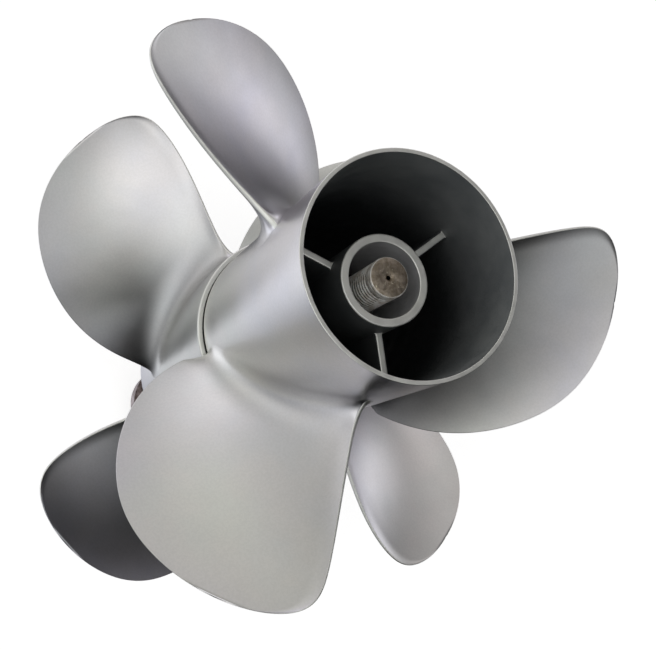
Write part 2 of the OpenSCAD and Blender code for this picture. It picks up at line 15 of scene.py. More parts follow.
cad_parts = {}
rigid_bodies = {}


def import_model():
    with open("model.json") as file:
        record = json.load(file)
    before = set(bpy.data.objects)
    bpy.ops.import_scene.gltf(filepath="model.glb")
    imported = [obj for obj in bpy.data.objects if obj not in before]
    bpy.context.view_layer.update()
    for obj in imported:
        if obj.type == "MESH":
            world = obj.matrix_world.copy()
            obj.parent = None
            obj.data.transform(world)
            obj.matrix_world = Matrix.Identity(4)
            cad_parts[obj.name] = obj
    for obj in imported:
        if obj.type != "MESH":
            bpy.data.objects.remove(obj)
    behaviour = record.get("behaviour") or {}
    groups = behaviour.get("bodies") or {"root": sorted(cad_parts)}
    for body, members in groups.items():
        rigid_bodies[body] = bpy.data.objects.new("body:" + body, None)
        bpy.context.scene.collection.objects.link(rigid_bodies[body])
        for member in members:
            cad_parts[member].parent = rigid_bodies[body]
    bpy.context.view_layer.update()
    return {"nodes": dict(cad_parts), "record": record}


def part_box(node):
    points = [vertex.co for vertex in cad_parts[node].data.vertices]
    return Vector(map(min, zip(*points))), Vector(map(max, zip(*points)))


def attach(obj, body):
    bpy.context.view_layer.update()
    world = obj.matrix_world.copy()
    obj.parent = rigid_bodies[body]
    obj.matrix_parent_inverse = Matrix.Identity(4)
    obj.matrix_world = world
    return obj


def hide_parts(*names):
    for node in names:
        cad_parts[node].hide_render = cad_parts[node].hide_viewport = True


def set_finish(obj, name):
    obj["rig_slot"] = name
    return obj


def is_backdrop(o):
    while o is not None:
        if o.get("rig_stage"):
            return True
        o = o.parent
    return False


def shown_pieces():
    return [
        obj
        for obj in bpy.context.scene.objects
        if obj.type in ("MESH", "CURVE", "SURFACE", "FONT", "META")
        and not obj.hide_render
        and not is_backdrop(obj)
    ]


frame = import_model()

MM = 0.001


# ---- Sizes read from the frame -----------------------------------------------------------------------

def node_radius(node):
    """Largest distance of a CAD node from the shaft axis, from its box."""
    low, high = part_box(node)
    return max(high.x, high.y)


def node_span(node):
    """(forward end, aft end) of a CAD node along the shafts."""
    low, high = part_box(node)
    return low.z, high.z


REAR_R = node_radius("rear_hub_barrel")
REAR_FORE, RIM = node_span("rear_hub_barrel")
FRONT_R = node_radius("front_hub_barrel")
FRONT_FORE, FRONT_AFT = node_span("front_hub_barrel")
TUBE_R = node_radius("rear_hub_tube")
TUBE_FORE, TUBE_AFT = node_span("rear_hub_tube")
RIB_FORE, RIB_AFT = node_span("rear_hub_ribs")
SHAFT_FORE, SHAFT_AFT = node_span("inner_shaft")


# ---- Mesh helpers ------------------------------------------------------------------------------------

def make_object(name, mesh, body, slot_name, *stands_for):
    """Links a mesh as a piece that rides on a body, takes its finish from a slot and stands for CAD nodes."""
    obj = bpy.data.objects.new(name, mesh)
    bpy.context.scene.collection.objects.link(obj)
    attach(obj, body)
    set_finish(obj, slot_name)
    if stands_for:
        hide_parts(*stands_for)
    return obj


def mesh_from(name, points, faces):
    """A smooth-shaded mesh whose normals point outwards."""
    mesh = bpy.data.meshes.new(name)
    mesh.from_pydata(points, [], faces)
    work = bmesh.new()
    work.from_mesh(mesh)
    bmesh.ops.recalc_face_normals(work, faces=work.faces)
    work.to_mesh(mesh)
    work.free()
    for polygon in mesh.polygons:
        polygon.use_smooth = True
    return mesh


def smooth_faces(obj):
    """Keeps large faces flat in the shading beside small rounded edges."""
    normals = obj.modifiers.new("normals", "WEIGHTED_NORMAL")
    normals.weight = 90
    normals.keep_sharp = True


def arc(centre, radius, start, end, steps):
    """Points of an arc in a profile plane, in degrees from the outward direction towards aft."""
    turn = [math.radians(start + (end - start) * i / steps) for i in range(steps + 1)]
    return [(centre[0] + radius * math.cos(t), centre[1] + radius * math.sin(t)) for t in turn]


def lathe(name, profile, segments=256):
    """Closed ring or solid turned about the shaft axis from (radius, z) points in order."""
    points = []
    faces = []
    count = len(profile)
    for i in range(segments):
        turn = 2 * math.pi * i / segments
        points += [(r * math.cos(turn), r * math.sin(turn), z) for r, z in profile]
    for i in range(segments):
        here = i * count
        there = (i + 1) % segments * count
        for j in range(count):
            k = (j + 1) % count
            faces.append((here + j, there + j, there + k, here + k))
    return mesh_from(name, points, faces)


# ---- Blades ------------------------------------------------------------------------------------------

class BladeKind:
    """One propeller's blades, in millimetres and degrees.

    pitch, station, sweep and half_w are given at even steps from the root, at SPAN_ZERO, to the tip. first is
    the turn of the first blade.
    """

    def __init__(self, count, first, hub_r, wall, tip_r, pitch, station, sweep, half_w, power, fore_limit,
                 mirrored):
        self.count = count
        self.first = first
        self.hub_r = hub_r
        self.wall = wall
        self.tip_r = tip_r
        self.pitch = pitch
        self.station = station
        self.sweep = sweep
        self.half_w = half_w
        self.power = power
        self.fore_limit = fore_limit
        self.mirrored = mirrored


# Blade sizes that both propellers share, in millimetres.
SPAN_ZERO = 48.2                            # radius where the blade dimensions start
ROOT_T = 9                                  # thickness of the middle at the root and the tip
TIP_T = 2.6
THIN_POWER = 0.8                            # how the thickness runs between them
BACK_POWER = 0.7                            # how full the back is
TRAILING_T = 3.2                            # thickness of the edges
LEADING_T = 1.2
CUP = 0.8                                   # drop of the trailing edge, and the chord place where it starts
CUP_START = -0.88
CUP_FADE = 4                                # the cup is full at 1 / CUP_FADE of the span
FILLET = 22                                 # height of the root fillet up the blade
FILLET_ALONG = 0.3                          # share of the flare along the chord
FILLET_OFF = 0.65                           # and off each face
BURY = 1.6                                  # depth of the root in the hub's wall
TIP_CUT = 0.99998                           # share of the tip's radius where the last ring lies
TIP_ROUND = 1.5                             # radial depth of the tip's round edge

CHORD_STEPS = 64
EDGE_STEPS = 6
RING_SIZE = 2 * (CHORD_STEPS + EDGE_STEPS)
FILLET_STEPS = 20
SPAN_STEPS = 72

FRONT_LIP = 63.5 * MM
FRONT_TAPER = (FRONT_FORE + 20 * MM, FRONT_AFT - 12 * MM)


def rear_wall(z):
    """Radius of the rear hub's wall, in millimetres: the same at every z."""
    return REAR_R / MM


def front_wall(z):
    """Radius of the front hub's wall at z, both in millimetres: it tapers towards the gap."""
    share = (z * MM - FRONT_TAPER[0]) / (FRONT_TAPER[1] - FRONT_TAPER[0])
    return (FRONT_R + (FRONT_LIP - FRONT_R) * max(0, min(1, share))) / MM


REAR = BladeKind(
    count=3, first=180, hub_r=REAR_R / MM, wall=rear_wall, tip_r=177.2, pitch=(566, 536),
    station=(103, 95, 74), sweep=(13.5, 14, 6, -17), half_w=(65.5, 69.5, 69, 50.5), power=22,
    fore_limit=(RIM - REAR_FORE) / MM - 3, mirrored=False)
FRONT = BladeKind(
    count=4, first=243.8, hub_r=FRONT_R / MM, wall=front_wall, tip_r=186.3, pitch=(585, 354),
    station=(277.5, 281.5, 258), sweep=(-42, -68.5, -106, -158), half_w=(58.5, 63, 65.5, 43.5), power=26,
    fore_limit=(RIM - FRONT_FORE) / MM - 3, mirrored=True)


def through(values, x):
    """Smooth curve through evenly spaced values, read at x from 0 at the first to 1 at the last."""
    last = len(values) - 1
    total = 0
    for i, value in enumerate(values):
        for j in range(last + 1):
            if j != i:
                value *= (last * x - j) / (i - j)
        total += value
    return total


def helix_point(kind, r, a, h, pitch, station):
    """Point at radius r: along the helix by a from the reference line, and off the pressure face by h.

    In the root fillet the radius also follows the taper of the hub's wall.
    """
    lead = math.atan(pitch / (2 * math.pi * r))
    turn = (a * math.cos(lead) - h * math.sin(lead)) / r
    side = 1 if kind.mirrored else -1
    z = RIM / MM - station - a * math.sin(lead) - h * math.cos(lead)
    left = max(0, 1 - max(0, r - kind.hub_r) / FILLET)
    r -= (kind.hub_r - kind.wall(z)) * left ** 2
    return Vector((r * math.cos(turn), side * r * math.sin(turn), z)) * MM


def back_height(t, x):
    """Height of the back above the pressure face at chord position t, from -1 aft to 1 forward."""
    thick = ROOT_T + (TIP_T - ROOT_T) * max(0, x) ** THIN_POWER
    edge = TRAILING_T * (1 - 0.5 * x) if t < 0 else LEADING_T
    return edge + max(0, thick - edge) * max(0, 1 - t * t) ** BACK_POWER


def cup_drop(t):
    """How far the cup bends the trailing edge aft."""
    return CUP * ((CUP_START - t) / (1 + CUP_START)) ** 2 if t < CUP_START else 0


def tip_thinning(left):
    """Share of the thickness that is left this far from the tip, which ends in a round edge."""
    return math.sqrt(1 - max(0, 1 - left / TIP_ROUND) ** 2)


def ring_places(kind):
    """(radius, flare) of each ring: two in the hub's wall, the fillet, then the span."""
    places = [(kind.hub_r - BURY, 0), (kind.hub_r - 0.12, FILLET * 1.06)]
    for i in range(FILLET_STEPS + 1):
        share = i / FILLET_STEPS
        places.append((kind.hub_r + FILLET * share ** 2, FILLET * (1 - share) ** 2))
    start = kind.hub_r + FILLET
    for i in range(1, SPAN_STEPS + 1):
        reach = math.sin(math.pi / 2 * i / SPAN_STEPS)
        places.append((start + (TIP_CUT * kind.tip_r - start) * reach, 0))
    return places


def edge_points(t, along, low, high, bulge):
    """(along, height) of the points that round a section's end between its two faces."""
    made = []
    for i in range(1, EDGE_STEPS):
        turn = math.pi * i / EDGE_STEPS
        depth = math.sqrt(math.sin(turn)) * bulge
        made.append((along + t * depth, low + (high - low) * (1 - math.cos(turn)) / 2))
    return made


def blade_section(kind, r, flare):
    """(along, height) round a section: the pressure face from aft to forward, then the back to aft."""
    x = (r - SPAN_ZERO) / (kind.tip_r - SPAN_ZERO)
    pitch = kind.pitch[0] + (kind.pitch[1] - kind.pitch[0]) * x
    lead = math.atan(pitch / (2 * math.pi * r))
    rounding = math.sqrt(1 - x ** kind.power)
    half = rounding * through(kind.half_w, x)
    cup_share = min(1, CUP_FADE * x) * rounding
    middle = through(kind.sweep, x)
    station = through(kind.station, x)
    thin = tip_thinning(kind.tip_r - r)
    aft_end = middle - half - FILLET_ALONG * flare
    fore_end = min(middle + half + FILLET_ALONG * flare, (kind.fore_limit - station) / math.sin(lead))
    pressure = []
    back = []
    for j in range(CHORD_STEPS + 1):
        t = -math.cos(math.pi * j / CHORD_STEPS)
        along = aft_end + (fore_end - aft_end) * (t + 1) / 2
        height = back_height(t, x)
        base = -cup_drop(t) * cup_share + height * (1 - thin) / 2
        out = FILLET_OFF * flare * math.sqrt(max(0, 1 - t ** 6))
        pressure.append((along, base - out))
        back.append((along, base + height * thin + out))
    soft = min(1, 0.15 * half)
    fore = edge_points(1, fore_end, pressure[-1][1], back[-1][1], 0.6 * soft)
    aft = edge_points(-1, aft_end, back[0][1], pressure[0][1], 0.7 * soft)
    return pressure + fore + back[::-1] + aft, pitch, station


def blade_mesh(name, kind, turn):
    """One blade, turned about the shaft axis by so many degrees."""
    points = []
    places = ring_places(kind)
    for r, flare in places:
        section, pitch, station = blade_section(kind, r, flare)
        points += [helix_point(kind, r, along, h, pitch, station) for along, h in section]
    size = len(section)
    faces = []
    for i in range(len(places) - 1):
        for k in range(size):
            a = i * size + k
            b = i * size + (k + 1) % size
            faces.append((a, b, b + size, a + size))
    for first in (0, (len(places) - 1) * size):
        faces += end_cap(first, size)
    mesh = mesh_from(name, points, faces)
    mesh.transform(Matrix.Rotation(math.radians(turn), 4, "Z"))
    return mesh


def end_cap(first, size):
    """Closes a ring of a blade with strips from its pressure side to its back."""
    offset = CHORD_STEPS + 1 + (EDGE_STEPS - 1) // 2
    order = [first + (offset + k) % size for k in range(size)]
    faces = []
    for k in range(size // 2 - 1):
        faces.append((order[k], order[k + 1], order[size - 2 - k], order[size - 1 - k]))
    return faces


def ground_edge(face):
    """1 on the blunt trailing edge, whose faces come last in each ring of a blade."""
    return int(face.index % RING_SIZE >= RING_SIZE - EDGE_STEPS)


def build_blades():
    for side, kind in (("rear", REAR), ("front", FRONT)):
        for n in range(kind.count):
            name = f"{side}_blade_{n + 1}"
            mesh = blade_mesh(name + "_skin", kind, kind.first - 360 / kind.count * n)
            make_object(name + "_skin", mesh, side + "_propeller", "stainless", name)


# ---- Hubs --------------------------------------------------------------------------------------------

REAR_BORE = 57.2 * MM
FRONT_BORE = 60.2 * MM
POCKET_R = 20.6 * MM
WEB_BORE = 14.6 * MM
RUBBER_R = 21.6 * MM
RIBS = 3
RIB_T = 4.4 * MM
RIB_EDGE = 1.1 * MM
RIB_FILLET = 1.0 * MM
RIB_BURY = 0.5 * MM
RIB_ANGLE = 99.4
RIB_STEPS = 40


def rear_barrel():
    """The rear hub's wall, with a rolled rim and a mouth that widens a little."""
    lip = 0.5 * MM
    inner = 0.35 * MM
    mouth = REAR_BORE + 0.8 * MM
    fore = REAR_FORE + 0.6 * MM
    edge = 1.2 * MM
    profile = [(REAR_BORE, fore)]
    profile += arc((REAR_R - edge, fore + edge), edge, -90, 0, 6)
    profile += arc((REAR_R - lip, RIM - lip), lip, 0, 90, 8)
    profile += arc((mouth + inner, RIM - inner), inner, 90, 180, 5)
    profile += [(REAR_BORE + 0.2 * MM, RIM - 8 * MM), (REAR_BORE, RIM - 14 * MM)]
    return make_object("rear_hub_skin", lathe("rear_hub_skin", profile), "rear_propeller", "stainless",
                       "rear_hub_barrel")


def front_barrel():
    """The front hub's wall, with the lip that faces the gap between the hubs."""
    lip = 1.2 * MM
    profile = [(FRONT_BORE, FRONT_FORE)]
    profile += arc((FRONT_R - 1.5 * MM, FRONT_FORE + 1.5 * MM), 1.5 * MM, -90, 0, 6)
    profile += [(FRONT_R, FRONT_TAPER[0]), (FRONT_LIP, FRONT_TAPER[1])]
    profile += arc((FRONT_LIP - lip, FRONT_AFT - lip), lip, 0, 90, 8)
    profile += arc((FRONT_BORE + 0.3 * MM, FRONT_AFT - 0.3 * MM), 0.3 * MM, 90, 180, 4)
    return make_object("front_hub_skin", lathe("front_hub_skin", profile), "front_propeller", "stainless",
                       "front_hub_barrel")


def rear_tube():
    """The rear hub's inner tube: its rounded aft ring, the nut pocket, the web and the bushing's bore."""
    outer = 0.9 * MM
    inner = 0.6 * MM
    web_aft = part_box("rear_thrust_washer")[0].z - 0.1 * MM
    web_fore = web_aft - 8 * MM
    profile = [(TUBE_R, TUBE_FORE)]
    profile += arc((TUBE_R - outer, TUBE_AFT - outer), outer, 0, 90, 6)
    profile += arc((POCKET_R + inner, TUBE_AFT - inner), inner, 90, 180, 5)
    profile += [(POCKET_R, web_aft), (WEB_BORE, web_aft), (WEB_BORE, web_fore), (RUBBER_R, web_fore),
                (RUBBER_R, TUBE_FORE)]
    return make_object("rear_tube_skin", lathe("rear_tube_skin", profile), "rear_propeller", "stainless",
                       "rear_hub_tube")


def rib_section(r):
    """(across, z) of a rib's outline at radius r: thicker where it runs into a wall."""
    reach = min(r - TUBE_R, REAR_BORE - r)
    near = min(1, max(0, 1 - reach / RIB_FILLET))
    grow = RIB_FILLET * (1 - math.sqrt(max(0, 1 - near * near)))
    half = RIB_T / 2 + grow
    right = arc((half - RIB_EDGE, RIB_AFT - RIB_EDGE), RIB_EDGE, 0, 90, 5)
    return [(half, RIB_FORE)] + right + [(-y, z) for y, z in right[::-1]] + [(-half, RIB_FORE)]


def rear_ribs():
    """The three ribs, with rounded aft edges and a fillet at each wall."""
    root = TUBE_R - RIB_BURY
    reach = REAR_BORE + RIB_BURY - root
    points = []
    faces = []
    for n in range(RIBS):
        turn = Matrix.Rotation(math.radians(RIB_ANGLE + 360 / RIBS * n), 4, "Z")
        start = len(points)
        for i in range(RIB_STEPS + 1):
            r = root + reach * (1 - math.cos(math.pi * i / RIB_STEPS)) / 2
            section = rib_section(r)
            points += [turn @ Vector((r, y, z)) for y, z in section]
        size = len(section)
        for i in range(RIB_STEPS):
            for k in range(size):
                a = start + i * size + k
                b = start + i * size + (k + 1) % size
                faces.append((a, b, b + size, a + size))
        for first in (start, start + RIB_STEPS * size):
            for k in range(size // 2 - 1):
                faces.append((first + k, first + k + 1, first + size - 2 - k, first + size - 1 - k))
    mesh = mesh_from("rear_ribs_skin", points, faces)
    return make_object("rear_ribs_skin", mesh, "rear_propeller", "stainless", "rear_hub_ribs")


# ---- Inner shaft -------------------------------------------------------------------------------------

# Inner shaft, in millimetres.
SEAT_R = 17.5                               # seat of the forward bearing
SEAT_L = 18
COLLAR_R = 20.5                             # collar aft of it
COLLAR_L = 5
COLLAR_EDGE = 0.4
BODY_R = 16.5                               # body up to the needle bearings
JOURNAL_R = 15                              # under the needle bearings
NECK_R = 13.2                               # between them
HUB_R = 14                                  # in the rear hub
THREAD_R = 11.1
THREAD_DEPTH = 1.1
THREAD_PITCH = 2.82
THREAD_STEP = 0.2                           # between rings along the thread
RELIEF = 0.9                                # groove where the thread ends by the nut
END_GROOVE = 0.45                           # groove between the thread and the plain end
END_L = 2.6
SPLINES = 12
SPLINE_DEPTH = 1.2
SPLINE_RAMP = 0.5
GEAR_SPLINE = (14, 58)                      # from the bearing seat's shoulder
AROUND = 192
THREAD_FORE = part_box("rear_lock_nut")[1].z + 4 * MM


def shaft_profile():
    """(z, radius) in millimetres from the shaft's forward end to the relief groove of its thread."""
    fore = SHAFT_FORE / MM
    shoulder = fore + SEAT_L
    journal_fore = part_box("fore_bearing_cup")
    journal_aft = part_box("aft_bearing_cup")
    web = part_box("rear_thrust_washer")[0].z / MM
    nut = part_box("rear_lock_nut")[1].z / MM
    collar_end = shoulder + COLLAR_L
    return [(fore, SEAT_R - 1), (fore + 1, SEAT_R), (shoulder, SEAT_R), (shoulder, COLLAR_R - COLLAR_EDGE),
            (shoulder + COLLAR_EDGE, COLLAR_R), (collar_end - COLLAR_EDGE, COLLAR_R),
            (collar_end, COLLAR_R - COLLAR_EDGE), (collar_end, BODY_R),
            (journal_fore[0].z / MM - 10, BODY_R), (journal_fore[0].z / MM - 8, JOURNAL_R),
            (journal_fore[1].z / MM + 2, JOURNAL_R), (journal_fore[1].z / MM + 5, NECK_R),
            (journal_aft[0].z / MM - 5, NECK_R), (journal_aft[0].z / MM - 2, JOURNAL_R),
            (FRONT_AFT / MM + 1, JOURNAL_R), (REAR_FORE / MM + 6, HUB_R), (web - 0.6, HUB_R),
            (web + 2.5, THREAD_R), (nut + 1, THREAD_R), (nut + 1, THREAD_R - RELIEF),
            (nut + 4, THREAD_R - RELIEF), (nut + 4, THREAD_R - 0.4)]


def between(value, low, high, ramp):
    """1 inside a stretch, 0 outside it, with a straight ramp at each end."""
    return max(0, min(1, (value - low) / ramp, (high - value) / ramp))


def spline_cut(turn, z, grooves):
    """How deep the spline grooves cut at a place on the shaft."""
    phase = turn * SPLINES / (2 * math.pi) % 1
    across = between((phase + 0.5) % 1, 0.25, 0.75, 0.05)
    return SPLINE_DEPTH * across * max(between(z, low, high, SPLINE_RAMP) for low, high in grooves)


def thread_cut(turn, z, low, high):
    """How deep a fine vee thread cuts, faded out where it meets the smooth pilot."""
    phase = (z / THREAD_PITCH - turn / (2 * math.pi)) % 1
    groove = min(1, 1.25 * (1 - abs(2 * phase - 1)))
    return THREAD_DEPTH * groove * between(z, low, high, THREAD_PITCH)


def shaft_rings(grooves):
    """(z, radius) of every ring: the profile, cut where splines end, then the fine thread and the end."""
    aft = SHAFT_AFT / MM
    rings = []
    profile = shaft_profile()
    cuts = sorted(z for low, high in grooves for z in (low, low + SPLINE_RAMP, high - SPLINE_RAMP, high))
    for (z0, r0), (z1, r1) in zip(profile, profile[1:]):
        rings.append((z0, r0))
        rings += [(z, r0 + (r1 - r0) * (z - z0) / (z1 - z0)) for z in cuts if z0 < z < z1]
    start = profile[-1][0]
    end = aft - END_L
    count = round((end - start) / THREAD_STEP)
    rings += [(start + (end - start) * i / count, THREAD_R) for i in range(count + 1)]
    # The plain end is a hair wider than the thread, so that inner_shaft doesn't take it for the thread.
    land = THREAD_R + 0.001
    rings += [(end, THREAD_R - END_GROOVE), (end + 0.5, THREAD_R - END_GROOVE), (end + 0.65, THREAD_R - 0.1)]
    rings += [(end + 0.8, land), (aft - 0.65, land), (aft - 0.5, THREAD_R - 0.08)]
    rings += [(aft - 0.08, THREAD_R - 0.5), (aft, THREAD_R - 0.65), (aft, 6)]
    # The lathe centre.
    rings += [(aft, 2.4), (aft - 0.1, 2.2), (aft - 1.2, 1.2), (aft - 8, 1.15), (aft - 8.6, 0.4)]
    return rings


def inner_shaft():
    """The inner shaft: bearing seat, gear splines, journals, hub splines, thread and lathe centre."""
    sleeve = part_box("rear_spline_sleeve")
    shoulder = SHAFT_FORE / MM + SEAT_L
    grooves = [(shoulder + GEAR_SPLINE[0], shoulder + GEAR_SPLINE[1]),
               (sleeve[0].z / MM - 2, sleeve[1].z / MM + 3)]
    rings = shaft_rings(grooves)
    thread = (THREAD_FORE / MM, SHAFT_AFT / MM - 3.4)
    points = []
    for z, r in rings:
        for k in range(AROUND):
            turn = 2 * math.pi * k / AROUND
            cut = spline_cut(turn, z, grooves)
            if r == THREAD_R and thread[0] < z < thread[1]:
                cut = thread_cut(turn, z, *thread)
            points.append(((r - cut) * MM * math.cos(turn), (r - cut) * MM * math.sin(turn), z * MM))
    faces = []
    for i in range(len(rings) - 1):
        for k in range(AROUND):
            a = i * AROUND + k
            b = i * AROUND + (k + 1) % AROUND
            faces.append((a, b, b + AROUND, a + AROUND))
    faces.append(tuple(range(AROUND)))
    faces.append(tuple(range(len(points) - AROUND, len(points))))
    mesh = mesh_from("inner_shaft_skin", points, faces)
    mesh.set_sharp_from_angle(angle=math.radians(40))
    return make_object("inner_shaft_skin", mesh, "rear_propeller", "shaft_steel", "inner_shaft")


# ---- Camera, floor and light -------------------------------------------------------------------------

def build_camera():
    """The photograph's view: looking down and forward at the open end of the rear hub."""
    data = bpy.data.cameras.new("camera")
    data.sensor_width = 36
    data.lens = 52.8
    data.shift_x = 0.001
    data.shift_y = -0.003
    data.clip_start = 0.01
    data.clip_end = 50
    camera = bpy.data.objects.new("camera", data)
    bpy.context.scene.collection.objects.link(camera)
    camera.location = Vector((14.2, -252.5, 746.1)) * MM
    camera.rotation_euler = [math.radians(angle) for angle in (13.02, -22.67, 61.01)]
    bpy.context.scene.camera = camera


def build_floor():
    """A plain white floor under the object. It doesn't show in the steel."""
    mesh = bpy.data.meshes.new("floor")
    half = 8
    z = SHAFT_FORE - 12 * MM
    corners = [(-half, -half, z), (half, -half, z), (half, half, z), (-half, half, z)]
    mesh.from_pydata(corners, [], [(0, 1, 2, 3)])
    floor = bpy.data.objects.new("floor", mesh)
    bpy.context.scene.collection.objects.link(floor)
    floor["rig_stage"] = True
    floor.visible_glossy = False
    material = bpy.data.materials.new("floor")
    material.use_nodes = True
    shader = material.node_tree.nodes["Principled BSDF"]
    shader.inputs["Base Color"].default_value = (0.9, 0.9, 0.9, 1)
    shader.inputs["Roughness"].default_value = 0.9
    shader.inputs["Emission Color"].default_value = (1, 1, 1, 1)
    shader.inputs["Emission Strength"].default_value = 0.6
    floor.data.materials.append(material)


SOFT_LIGHTS = [
    # azimuth and elevation that it shines from, how tight it is, strength, colour
    (-75, 70, 15, 1.5, (1.0, 1.0, 0.98)),      # overhead, square on to the rim
    (5, 50, 17, 0.68, (0.98, 1.0, 1.02)),      # its weaker partner on the right
    (-112, 36, 12, 1.35, (1.0, 1.0, 1.0)),     # large panel on the upper left
    (-90, 0, 14, 0.7, (0.97, 1.0, 1.05)),      # left side
    (-145, 0, 12, 0.75, (1.0, 1.0, 0.99)),     # left side, further round
    (-140, -50, 10, 1.6, (0.98, 1.0, 1.06)),   # bounce from the lower left
    (164, -10, 12, 1.2, (1.0, 0.98, 1.06)),    # strip behind
    (175, 30, 12, 0.7, (1.0, 1.0, 0.92)),      # panel above the strip
    (123, 27, 12, 0.8, (1.03, 0.98, 1.0)),     # right side
    (83, 1, 24, 1.3, (0.99, 0.98, 1.05)),      # narrow fill on the lower right
]


def unit(azimuth, elevation):
    """Direction towards an azimuth and elevation in degrees."""
    a, e = math.radians(azimuth), math.radians(elevation)
    return Vector((math.cos(e) * math.cos(a), math.cos(e) * math.sin(a), math.sin(e)))


def build_light():
    """A dark studio with large soft lights round the object. The camera sees plain white beyond the floor."""
    world = bpy.data.worlds.new("studio")
    bpy.context.scene.world = world
    world.use_nodes = True
    nodes = world.node_tree.nodes
    links = world.node_tree.links
    nodes.clear()
    where = nodes.new("ShaderNodeTexCoord")
    total = None
    for azimuth, elevation, tightness, strength, colour in SOFT_LIGHTS:
        facing = nodes.new("ShaderNodeVectorMath")
        facing.operation = "DOT_PRODUCT"
        facing.inputs[1].default_value = unit(azimuth, elevation)
        links.new(where.outputs["Generated"], facing.inputs[0])
        away = nodes.new("ShaderNodeMath")
        away.operation = "MULTIPLY_ADD"
        away.inputs[1].default_value = tightness
        away.inputs[2].default_value = -tightness
        links.new(facing.outputs["Value"], away.inputs[0])
        glow = nodes.new("ShaderNodeMath")
        glow.operation = "EXPONENT"
        links.new(away.outputs[0], glow.inputs[0])
        lamp = nodes.new("ShaderNodeVectorMath")
        lamp.operation = "MULTIPLY_ADD"
        lamp.inputs[1].default_value = [strength * c for c in colour]
        links.new(glow.outputs[0], lamp.inputs[0])
        if total is not None:
            links.new(total, lamp.inputs[2])
        total = lamp.outputs[0]
    studio = nodes.new("ShaderNodeBackground")
    links.new(total, studio.inputs["Color"])
    plain = nodes.new("ShaderNodeBackground")
    plain.inputs["Color"].default_value = (1, 1, 1, 1)
    path = nodes.new("ShaderNodeLightPath")
    mix = nodes.new("ShaderNodeMixShader")
    links.new(path.outputs["Is Camera Ray"], mix.inputs["Fac"])
    links.new(studio.outputs[0], mix.inputs[1])
    links.new(plain.outputs[0], mix.inputs[2])
    end = nodes.new("ShaderNodeOutputWorld")
    links.new(mix.outputs[0], end.inputs["Surface"])


# ---- Materials ---------------------------------------------------------------------------------------

class Finish:
    """A procedural material: helpers that add nodes and return their outputs."""

    def __init__(self, name, metallic, roughness):
        self.material = bpy.data.materials.new(name)
        self.material.use_nodes = True
        self.nodes = self.material.node_tree.nodes
        self.links = self.material.node_tree.links
        self.shader = self.nodes["Principled BSDF"]
        self.shader.inputs["Metallic"].default_value = metallic
        self.shader.inputs["Roughness"].default_value = roughness
        self.place = self.nodes.new("ShaderNodeTexCoord").outputs["Object"]

    def noise(self, scale, detail=3, rough=0.5):
        node = self.nodes.new("ShaderNodeTexNoise")
        node.inputs["Scale"].default_value = scale
        node.inputs["Detail"].default_value = detail
        node.inputs["Roughness"].default_value = rough
        self.links.new(self.place, node.inputs["Vector"])
        return node.outputs["Fac"]

    def spread(self, value, low, high, out_low=0.0, out_high=1.0):
        """Smooth step of a value from low to high, onto another range."""
        node = self.nodes.new("ShaderNodeMapRange")
        node.interpolation_type = "SMOOTHSTEP"
        limits = {"From Min": low, "From Max": high, "To Min": out_low, "To Max": out_high}
        for socket, number in limits.items():
            node.inputs[socket].default_value = number
        self.links.new(value, node.inputs["Value"])
        return node.outputs["Result"]

    def mix(self, share, first, second):
        """Colour between two colours or outputs."""
        node = self.nodes.new("ShaderNodeMix")
        node.data_type = "RGBA"
        self.links.new(share, node.inputs["Factor"])
        for socket, colour in ((node.inputs[6], first), (node.inputs[7], second)):
            if isinstance(colour, tuple):
                socket.default_value = (*colour, 1)
            else:
                self.links.new(colour, socket)
        return node.outputs[2]

    def along_shaft(self, low, high):
        """0 at one station and 1 at the other."""
        split = self.nodes.new("ShaderNodeSeparateXYZ")
        self.links.new(self.place, split.inputs[0])
        return self.spread(split.outputs["Z"], low, high)

    def colour(self, output):
        self.links.new(output, self.shader.inputs["Base Color"])

    def roughness(self, output):
        self.links.new(output, self.shader.inputs["Roughness"])

    def bump(self, height, distance):
        """Adds relief of a real height in metres on top of any that is there."""
        node = self.nodes.new("ShaderNodeBump")
        node.inputs["Strength"].default_value = 1
        node.inputs["Distance"].default_value = distance
        self.links.new(height, node.inputs["Height"])
        normal = self.shader.inputs["Normal"]
        if normal.links:
            self.links.new(normal.links[0].from_socket, node.inputs["Normal"])
        self.links.new(node.outputs[0], normal)


def stainless():
    """Cast stainless steel, hand polished: slow colour drifts, soft waves and a fine satin grain."""
    finish = Finish("stainless", 1, 0.3)
    drift = finish.spread(finish.noise(7, 2, 0.4), 0.35, 0.65)
    mottle = finish.spread(finish.noise(30, 3, 0.55), 0.3, 0.7)
    cool = finish.mix(drift, (0.67, 0.68, 0.65), (0.65, 0.64, 0.69))
    warm = finish.mix(drift, (0.7, 0.69, 0.66), (0.68, 0.66, 0.68))
    grain = finish.spread(finish.noise(700, 2, 0.7), 0.35, 0.65, 0.78, 1)
    finish.colour(finish.mix(grain, (0.52, 0.52, 0.51), finish.mix(mottle, cool, warm)))
    finish.roughness(finish.spread(finish.noise(20, 3, 0.55), 0.3, 0.7, 0.285, 0.335))
    finish.bump(finish.noise(18, 2, 0.5), 0.0005)
    finish.bump(finish.noise(420, 2, 0.6), 0.000015)
    return finish.material


def ground_steel():
    """Stainless steel as a belt or a lathe left it on faces and edges: brighter, duller, finely scored."""
    finish = Finish("ground_steel", 1, 0.5)
    tone = finish.spread(finish.noise(60, 3), 0.3, 0.7)
    finish.colour(finish.mix(tone, (0.9, 0.91, 0.86), (0.95, 0.95, 0.91)))
    finish.roughness(finish.spread(finish.noise(160, 3), 0.3, 0.7, 0.46, 0.56))
    finish.bump(finish.noise(900, 3, 0.6), 0.00003)
    return finish.material


